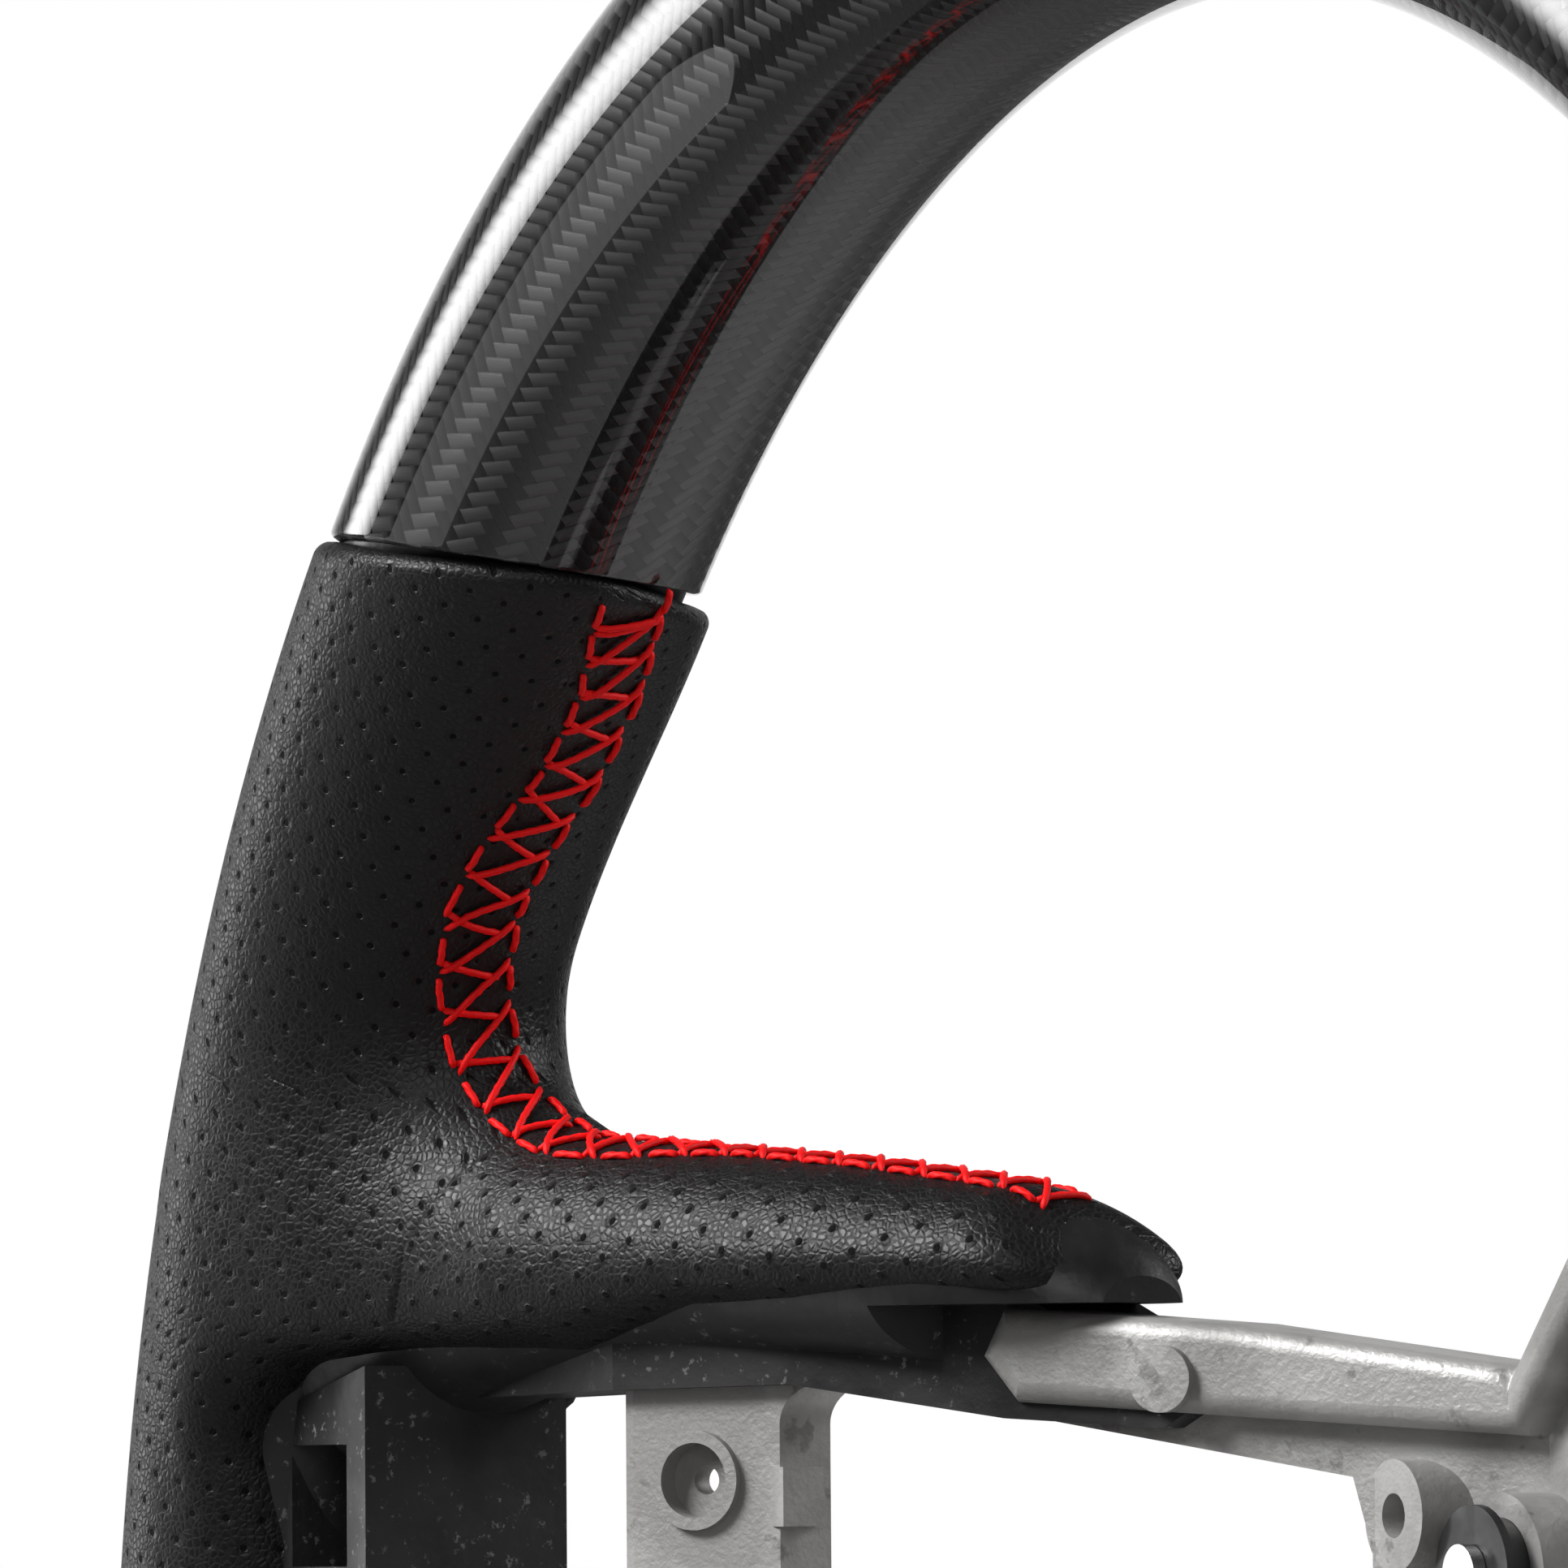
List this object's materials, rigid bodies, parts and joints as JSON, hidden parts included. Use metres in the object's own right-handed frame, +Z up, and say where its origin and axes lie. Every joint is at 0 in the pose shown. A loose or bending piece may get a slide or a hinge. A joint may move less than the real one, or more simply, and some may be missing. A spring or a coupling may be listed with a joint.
{
  "type": "quick release steering wheel",
  "caption": "Round steering wheel with carbon and laced perforated leather rim on a bare cast armature, with a ball-lock quick release hub behind it.",
  "frame": {"origin": "middle of the plain wall at the mouth of the spindle socket, on the wheel's turning axis", "axes": "+X to the driver's right, +Y away from the driver along the steering axis, +Z up"},
  "size_m": [0.3608, 0.1258, 0.3592],
  "materials": {
    "cast_alloy": "as-cast light alloy, grey, scuffed",
    "foam": "moulded black foam, satin, dusty",
    "carbon": "clear-coated carbon twill",
    "leather": "perforated fine-grain black leather",
    "thread": "twisted red thread",
    "steel": "turned steel",
    "bush": "black moulded bush",
    "spring_steel": "spring wire",
    "hub_alloy": "machined, dark anodised",
    "collar_alloy": "machined, black anodised",
    "buffer": "rubber",
    "screw_steel": "black oxide",
    "ball_steel": "polished bearing steel"
  },
  "bodies": {
    "wheel": {"armature": "cast_alloy", "rim_ring": "steel", "foam_core": "foam", "carbon_top": "carbon", "carbon_bottom": "carbon", "leather_left": "leather", "leather_right": "leather", "edge_stitches_left": "thread", "edge_stitches_right": "thread", "lacing_left": "thread", "lacing_right": "thread", "guide_pins": "steel", "guide_spring_left": "spring_steel", "guide_spring_right": "spring_steel", "guide_spring_low": "spring_steel", "release_hub": "hub_alloy", "release_spring": "spring_steel", "retaining_ring": "steel", "rubber_buffer": "buffer", "hub_screws": "screw_steel"},
    "collar": {"release_collar": "collar_alloy"},
    "ball_body_1": {"ball_1": "ball_steel"},
    "ball_body_2": {"ball_2": "ball_steel"},
    "ball_body_3": {"ball_3": "ball_steel"},
    "ball_body_4": {"ball_4": "ball_steel"},
    "ball_body_5": {"ball_5": "ball_steel"},
    "ball_body_6": {"ball_6": "ball_steel"},
    "guide_left": {"guide_bush_left": "bush"},
    "guide_right": {"guide_bush_right": "bush"},
    "guide_low": {"guide_bush_low": "bush"}
  },
  "joints": [
    {"name": "collar_pull", "type": "slide", "parent": "wheel", "child": "collar", "axis": [0, -1, 0], "range_m": [0, 0.006], "stiffness_N_per_m": 1500, "springref_m": -0.006, "deforming": ["release_spring"]},
    {"name": "ball_lift_1", "type": "slide", "parent": "wheel", "child": "ball_body_1", "axis": [0.5, 0, 0.866], "range_m": [0, 0.0021]},
    {"name": "ball_lift_2", "type": "slide", "parent": "wheel", "child": "ball_body_2", "axis": [1, 0, 0], "range_m": [0, 0.0021]},
    {"name": "ball_lift_3", "type": "slide", "parent": "wheel", "child": "ball_body_3", "axis": [0.5, 0, -0.866], "range_m": [0, 0.0021]},
    {"name": "ball_lift_4", "type": "slide", "parent": "wheel", "child": "ball_body_4", "axis": [-0.5, 0, -0.866], "range_m": [0, 0.0021]},
    {"name": "ball_lift_5", "type": "slide", "parent": "wheel", "child": "ball_body_5", "axis": [-1, 0, 0], "range_m": [0, 0.0021]},
    {"name": "ball_lift_6", "type": "slide", "parent": "wheel", "child": "ball_body_6", "axis": [-0.5, 0, 0.866], "range_m": [0, 0.0021]},
    {"name": "guide_press_left", "type": "slide", "parent": "wheel", "child": "guide_left", "axis": [0, 1, 0], "range_m": [0, 0.002], "stiffness_N_per_m": 3000, "springref_m": -0.002, "deforming": ["guide_spring_left"]},
    {"name": "guide_press_right", "type": "slide", "parent": "wheel", "child": "guide_right", "axis": [0, 1, 0], "range_m": [0, 0.002], "stiffness_N_per_m": 3000, "springref_m": -0.002, "deforming": ["guide_spring_right"]},
    {"name": "guide_press_low", "type": "slide", "parent": "wheel", "child": "guide_low", "axis": [0, 1, 0], "range_m": [0, 0.002], "stiffness_N_per_m": 3000, "springref_m": -0.002, "deforming": ["guide_spring_low"]}
  ],
  "couplings": [
    {"joint": "ball_lift_1", "follows": "collar_pull", "ratio": 0.35},
    {"joint": "ball_lift_2", "follows": "collar_pull", "ratio": 0.35},
    {"joint": "ball_lift_3", "follows": "collar_pull", "ratio": 0.35},
    {"joint": "ball_lift_4", "follows": "collar_pull", "ratio": 0.35},
    {"joint": "ball_lift_5", "follows": "collar_pull", "ratio": 0.35},
    {"joint": "ball_lift_6", "follows": "collar_pull", "ratio": 0.35}
  ]
}
